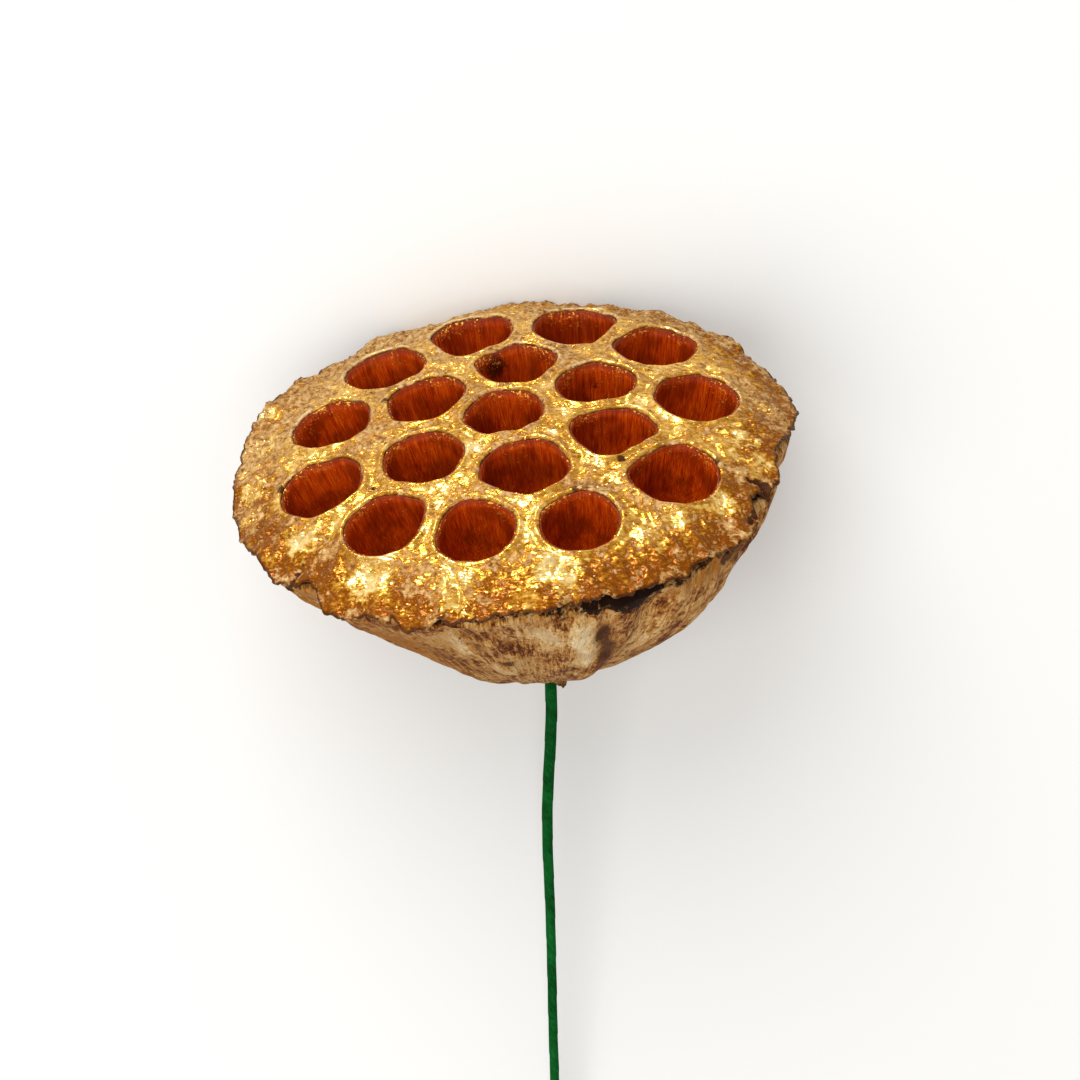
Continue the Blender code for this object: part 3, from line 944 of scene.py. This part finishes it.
bark, shade = new_finish("woody_skin")
place = shade.place()
grain = shade.vector_layer("grain")
share_down = shade.layer("share")
stain = shade.layer("stain")
pale = shade.layer("pale")
golden = shade.layer("golden")
threads = grain.grain(1.5, 5, 0.7, stretch=(1, 1, 0.11))
hairs = grain.grain(4.5, 4, 0.7, stretch=(1, 1, 0.10))
blotches = place.grain(150, 4, 0.6)
mottle = place.grain(1100, 4, 0.7)
fibre = threads * 0.75 + hairs * 0.5 + mottle * 0.5 - 0.375
bare = (fibre + blotches * 0.6 + pale * 0.24 - 0.335).ramp(
    (0.34, (0.11, 0.026, 0.004)),
    (0.42, (0.31, 0.11, 0.020)),
    (0.50, (0.52, 0.26, 0.070)),
    (0.58, (0.69, 0.43, 0.17)),
    (0.72, (0.86, 0.68, 0.42)),
)
rusty = blotches.rise(0.50, 0.62) * 0.45 + golden * 0.9
bare = (rusty * mottle.rise(0.3, 0.55)).between(bare, colour(0.38, 0.15, 0.02))
speckle = (mottle * 0.6 + hairs * 0.4).rise(0.42, 0.36) * 0.75
stained = (stain * 0.75 + threads * 1.6 + hairs * 1.2 + mottle * 1.0 - 1.9).rise(0.30, 0.55)
bare = speckle.or_more(stained * 0.92).between(bare, colour(0.085, 0.028, 0.009))
# The groove under the rim is painted nearly black, as the shade under its overhang.
groove_shade = (share_down + mottle * 0.05 + blotches * 0.06 - 0.055).rise(0.028, 0.012)
feed(
    bark,
    Base_Color=groove_shade.between(bare, colour(0.022, 0.007, 0.002)),
    Roughness=0.66,
    Specular_IOR_Level=0.12,
    Normal=(threads * 0.9 + hairs * 0.6 + mottle * 0.5).bump(1.0, 0.0005),
)
woody_underside.data.materials.append(bark)
belongs(woody_underside, "pod")


# The stem's tape: green stretched crepe paper, wound round the wire so that each turn laps over the last.
# It is swept along the wire's own slightly bent path and ends just short of the wire's cut end.

STEM_LENGTH = 126.0
STEM_SIDE = 0.6
STEM_END_HEIGHT = 0.61
STEM_BENDS = ((9, 0.15), (24, -0.45), (32, -0.4), (42, 0.0), (53, 0.3), (66, 0.6), (92, 1.5), (126, 2.7))
TAPE_RADIUS = 0.95
TAPE_RADIUS_LOW = 0.74
TAPE_END = 125.2
TAPE_PITCH = 7.0
TAPE_STEP = 0.07
TAPE_WALL = 0.2
WIND_SCALE = (6.0, 1000.0, 2.0)
STEM_START = -1.0
STEM_SPACING = 0.25


def drift_at(along):
    """The stem's drift to the side at a distance from the pod, smooth through its bends."""
    knots = ((-9, 0.0), (0, 0.0), *STEM_BENDS, (160, 3.6))
    for before, start_bend, end_bend, after in zip(knots, knots[1:], knots[2:], knots[3:]):
        if along <= end_bend[0] or after is knots[-1]:
            break
    span = end_bend[0] - start_bend[0]
    share = (along - start_bend[0]) / span
    start_slope = (end_bend[1] - before[1]) / (end_bend[0] - before[0]) * span
    end_slope = (after[1] - start_bend[1]) / (after[0] - start_bend[0]) * span
    cubed = share**3
    squared = share**2
    drift = (2 * cubed - 3 * squared + 1) * start_bend[1] + (cubed - 2 * squared + share) * start_slope
    return drift + (-2 * cubed + 3 * squared) * end_bend[1] + (cubed - squared) * end_slope


def stem_point(along):
    """A point of the stem's middle line, in metres in the part's frame."""
    drop = POD_BASE.z / MM - STEM_END_HEIGHT
    run = math.sqrt(STEM_LENGTH**2 - drop**2)
    share = along / STEM_LENGTH
    return POD_BASE + Vector((STEM_SIDE + drift_at(along), -run * share, -drop * share)) * MM


def stem_line(name, start, end, radius, radius_low):
    """The stem's middle line as a curve object, for a piece that thins towards the middle of the stem."""
    line = bpy.data.curves.new(name, "CURVE")
    line.dimensions = "3D"
    count = round((end - start) / STEM_SPACING)
    spline = line.splines.new("POLY")
    spline.points.add(count)
    for step, point in enumerate(spline.points):
        along = start + (end - start) * step / count
        point.co = (*stem_point(along), 1)
        point.radius = radius + (radius_low - radius) * smooth(along, 0, STEM_LENGTH / 2)
    return add_object(name, line)


tape, shade = new_finish("green_crepe_tape")
wind = shade.vector_layer("wind")
crepe = wind.grain(1.3, 4, 0.6, stretch=(3.0, 1.0, 1.0))
patch = wind.grain(0.22, 3)
crepe_green = (crepe * 0.6 + patch * 0.4).ramp(
    (0.35, (0.001, 0.030, 0.006)), (0.5, (0.004, 0.095, 0.017)), (0.68, (0.011, 0.17, 0.034))
)
feed(
    tape,
    Base_Color=crepe_green,
    Roughness=0.75,
    Specular_IOR_Level=0.1,
    Normal=crepe.bump(0.6, 0.00012),
)


class Tree:
    """A Geometry Nodes tree with named inputs, built call by call."""

    def __init__(self, name, **sizes):
        self.tree = bpy.data.node_groups.new(name, "GeometryNodeTree")
        self.tree.interface.new_socket("Geometry", in_out="INPUT", socket_type="NodeSocketGeometry")
        self.tree.interface.new_socket("Geometry", in_out="OUTPUT", socket_type="NodeSocketGeometry")
        self.sizes = sizes
        for size, value in sizes.items():
            kind = "NodeSocketInt" if isinstance(value, int) else "NodeSocketFloat"
            self.tree.interface.new_socket(size, in_out="INPUT", socket_type=kind)
        self.inputs = self.tree.nodes.new("NodeGroupInput")
        self.result = self.tree.nodes.new("NodeGroupOutput")

    def size(self, name):
        return self.inputs.outputs[name]

    def add(self, kind, settings=None, inputs=None):
        """Adds a node: its settings first, then the values or links of its sockets."""
        made = self.tree.nodes.new(kind)
        for name, value in (settings or {}).items():
            setattr(made, name, value)
        for name, value in (inputs or {}).items():
            if isinstance(value, bpy.types.NodeSocket):
                self.tree.links.new(value, made.inputs[name])
            else:
                made.inputs[name].default_value = value
        return made

    def maths(self, operation, first, second=0.0):
        return self.add("ShaderNodeMath", {"operation": operation}, {0: first, 1: second}).outputs[0]

    def rise(self, value, low, high):
        """0 at low and 1 at high, with a smooth step between."""
        steps = {"Value": value, "From Min": low, "From Max": high}
        return self.add("ShaderNodeMapRange", {"interpolation_type": "SMOOTHSTEP"}, steps).outputs[0]

    def vector(self, operation, first, second=None, scale=None):
        values = {0: first}
        if second is not None:
            values[1] = second
        if scale is not None:
            values["Scale"] = scale
        return self.add("ShaderNodeVectorMath", {"operation": operation}, values).outputs[0]

    def capture(self, geometry, **fields):
        """Keeps fields' values with the geometry: a node whose outputs are the geometry and each of them."""
        held = self.add("GeometryNodeCaptureAttribute")
        for name, (kind, _) in fields.items():
            held.capture_items.new(kind, name)
        self.tree.links.new(geometry, held.inputs[0])
        for name, (_, field) in fields.items():
            self.tree.links.new(field, held.inputs[name])
        return held

    def build_on(self, thing, geometry, finish):
        """Ends the tree in a realised mesh of that finish, runs it on the object and keeps the result."""
        whole = self.add("GeometryNodeRealizeInstances", {}, {0: geometry}).outputs[0]
        painted = self.add("GeometryNodeSetMaterial", {}, {"Geometry": whole, "Material": finish})
        self.tree.links.new(painted.outputs[0], self.result.inputs[0])
        modifier = thing.modifiers.new(self.tree.name, "NODES")
        modifier.node_group = self.tree
        for item in self.tree.interface.items_tree:
            if item.in_out == "INPUT" and item.name in self.sizes:
                modifier[item.identifier] = self.sizes[item.name]
        mesh = evaluated_mesh(thing)
        name = thing.name
        bpy.data.objects.remove(thing)
        return add_object(name, mesh)


winding = Tree("wound tape", Pitch=TAPE_PITCH * MM, Lap=TAPE_STEP * MM, Sides=40)
along = winding.add("GeometryNodeSplineParameter").outputs["Length"]
centre = winding.add("GeometryNodeInputPosition").outputs[0]
on_route = winding.capture(winding.inputs.outputs[0], along=("FLOAT", along), centre=("VECTOR", centre))
profile = winding.add(
    "GeometryNodeCurvePrimitiveCircle", {}, {"Radius": MM, "Resolution": winding.size("Sides")}
).outputs[0]
turn = winding.add("GeometryNodeSplineParameter").outputs["Factor"]
on_profile = winding.capture(profile, turn=("FLOAT", turn))
radius_here = winding.add("GeometryNodeInputRadius").outputs[0]
swept = winding.add(
    "GeometryNodeCurveToMesh",
    {},
    {
        "Curve": on_route.outputs[0],
        "Profile Curve": on_profile.outputs[0],
        "Fill Caps": False,
        "Scale": radius_here,
    },
).outputs[0]
laps = winding.maths("DIVIDE", on_route.outputs["along"], winding.size("Pitch"))
turns = winding.maths("ADD", laps, on_profile.outputs["turn"])
phase = winding.maths("FRACT", turns)
lift = winding.maths("MULTIPLY", phase, winding.size("Lap"))
surface_spot = winding.add("GeometryNodeInputPosition").outputs[0]
outward = winding.vector("NORMALIZE", winding.vector("SUBTRACT", surface_spot, on_route.outputs["centre"]))
lapped = winding.add(
    "GeometryNodeSetPosition", {}, {"Geometry": swept, "Offset": winding.vector("SCALE", outward, scale=lift)}
).outputs[0]
wind_place = winding.add(
    "ShaderNodeCombineXYZ",
    {},
    {
        "X": winding.maths("MULTIPLY", turns, WIND_SCALE[0]),
        "Y": winding.maths("MULTIPLY", on_route.outputs["along"], WIND_SCALE[1]),
        "Z": winding.maths("MULTIPLY", phase, WIND_SCALE[2]),
    },
).outputs[0]
named = winding.add(
    "GeometryNodeStoreNamedAttribute",
    {"data_type": "FLOAT_VECTOR", "domain": "POINT"},
    {"Geometry": lapped, "Name": "wind", "Value": wind_place},
).outputs[0]
smooth_tape = winding.add("GeometryNodeSetShadeSmooth", {}, {"Geometry": named}).outputs[0]
tape_line = stem_line("stem_tape", STEM_START, TAPE_END, TAPE_RADIUS, TAPE_RADIUS_LOW)
stem_tape = winding.build_on(tape_line, smooth_tape, tape)
thicken(stem_tape, TAPE_WALL)
belongs(stem_tape, "stem_wrap")


# The wire inside the tape: drawn steel that shows only at its cut end, where the cutters left it a little
# flat. It starts where the tape does, because the rest of it is inside the pod.

WIRE_RADIUS = 0.4
CUT_LENGTH = 0.5
CUT_FLATNESS = 0.45
CUT_EDGE = math.radians(40)

wire_line = stem_line("stem_wire", STEM_START, STEM_LENGTH, 1.0, 1.0)
wire_line.data.bevel_depth = WIRE_RADIUS * MM
wire_line.data.bevel_resolution = 4
wire_line.data.use_fill_caps = True
wire_mesh = evaluated_mesh(wire_line)
bpy.data.objects.remove(wire_line)
cut_start = stem_point(STEM_LENGTH - CUT_LENGTH)
cut_end = stem_point(STEM_LENGTH)
for vert in wire_mesh.vertices:
    pinched = smooth(-vert.co.y, -cut_start.y, -cut_end.y)
    if pinched > 0:
        vert.co.z = cut_end.z + (vert.co.z - cut_end.z) * (1 - (1 - CUT_FLATNESS) * pinched)
wire_mesh.shade_smooth()
wire_mesh.set_sharp_from_angle(angle=CUT_EDGE)
stem_wire = add_object("stem_wire", wire_mesh)

steel, shade = new_finish("cut_steel_wire")
place = shade.place()
drawn = place.grain(1800, 3, stretch=(1, 0.03, 1))
feed(
    steel,
    Base_Color=drawn.ramp((0.35, (0.22, 0.21, 0.20)), (0.65, (0.55, 0.54, 0.53))),
    Metallic=1.0,
    Roughness=0.3 + drawn * 0.2,
)
wire_mesh.materials.clear()
wire_mesh.materials.append(steel)
belongs(stem_wire, "stem_core")


# Loose leaf: small crumpled chips of gold that stand up from the skin in drifts, and others that fell on the
# chambers' upper walls. Each is a flattened chip of twenty facets, and a fixed seed places them.

CHIP_RADIUS = 0.38
CHIP_SHAPE = (1.0, 0.5, 0.16)
CHIP_TILT = 0.45
CHIP_CRUMPLE = 0.12
CHIP_WIDTHS = (0.3, 1.0)
DRIFT_RANGE = (0.42, 0.60)
FACE_CHIPS_PER_MM2 = 1.6
CHAMBER_CHIPS_PER_MM2 = 0.18
CHAMBER_CHIPS_REACH = 6.0

chip_gold, shade = new_finish("loose_gold_leaf")
place = shade.place()
tarnish = place.grain(700, 3, 0.6)
feed(
    chip_gold,
    Base_Color=tarnish.ramp(
        (0.38, (0.55, 0.22, 0.015)),
        (0.50, (0.82, 0.50, 0.12)),
        (0.60, (0.97, 0.78, 0.42)),
    ),
    Metallic=0.9,
    Roughness=0.28 + tarnish * 0.15,
)


def scatter_chips(name, ground, per_mm2, seed, layer, none_at, full_at):
    """Scatters chips over a mesh, in drifts, and thickly where one of its layers nears a full value."""
    drift = Tree(name, Density=per_mm2 / MM**2, Radius=CHIP_RADIUS * MM, Crumple=CHIP_CRUMPLE * MM, Seed=seed)
    broad_noise = drift.add("ShaderNodeTexNoise", {}, {"Scale": 150.0, "Detail": 3.0}).outputs[0]
    layer_here = drift.add("GeometryNodeInputNamedAttribute", {}, {"Name": layer}).outputs[0]
    wanted = drift.rise(layer_here, none_at, full_at)
    heap = drift.maths("MULTIPLY", drift.rise(broad_noise, *DRIFT_RANGE), wanted)
    points = drift.add(
        "GeometryNodeDistributePointsOnFaces",
        {},
        {
            "Mesh": drift.inputs.outputs[0],
            "Density": drift.maths("MULTIPLY", heap, drift.size("Density")),
            "Seed": drift.size("Seed"),
        },
    )
    tilt = drift.add(
        "FunctionNodeRandomValue",
        {"data_type": "FLOAT_VECTOR"},
        {0: (-CHIP_TILT, -CHIP_TILT, 0.0), 1: (CHIP_TILT, CHIP_TILT, 2 * math.pi), 8: drift.size("Seed")},
    ).outputs[0]
    turned = drift.add(
        "FunctionNodeRotateRotation",
        {"rotation_space": "LOCAL"},
        {
            "Rotation": points.outputs["Rotation"],
            "Rotate By": drift.add("FunctionNodeEulerToRotation", {}, {0: tilt}).outputs[0],
        },
    ).outputs[0]
    width = drift.add(
        "FunctionNodeRandomValue",
        {"data_type": "FLOAT"},
        {2: CHIP_WIDTHS[0], 3: CHIP_WIDTHS[1], 8: drift.size("Seed")},
    ).outputs[1]
    ball = drift.add(
        "GeometryNodeMeshIcoSphere", {}, {"Radius": drift.size("Radius"), "Subdivisions": 1}
    ).outputs[0]
    chip = drift.add("GeometryNodeTransform", {}, {"Geometry": ball, "Scale": CHIP_SHAPE}).outputs[0]
    chips = drift.add(
        "GeometryNodeInstanceOnPoints",
        {},
        {"Points": points.outputs["Points"], "Instance": chip, "Rotation": turned, "Scale": width},
    ).outputs[0]
    whole = drift.add("GeometryNodeRealizeInstances", {}, {0: chips}).outputs[0]
    wrinkle = drift.add("ShaderNodeTexNoise", {}, {"Scale": 2500.0, "Detail": 1.0}).outputs["Color"]
    push = drift.vector("SUBTRACT", wrinkle, (0.5, 0.5, 0.5))
    offset = drift.vector("SCALE", push, scale=drift.size("Crumple"))
    crumpled = drift.add("GeometryNodeSetPosition", {}, {"Geometry": whole, "Offset": offset}).outputs[0]
    drifts = drift.build_on(add_object(name, ground), crumpled, chip_gold)
    settle(drifts.data)
    belongs(drifts, "pod")


# The face's chips gather at the painted highlight spots.
scatter_chips("face_chips", outer_skin, FACE_CHIPS_PER_MM2, 11, "shine", 0.0, 0.9)
scatter_chips("chamber_chips", outer_cups, CHAMBER_CHIPS_PER_MM2, 12, "depth", CHAMBER_CHIPS_REACH, 0.0)
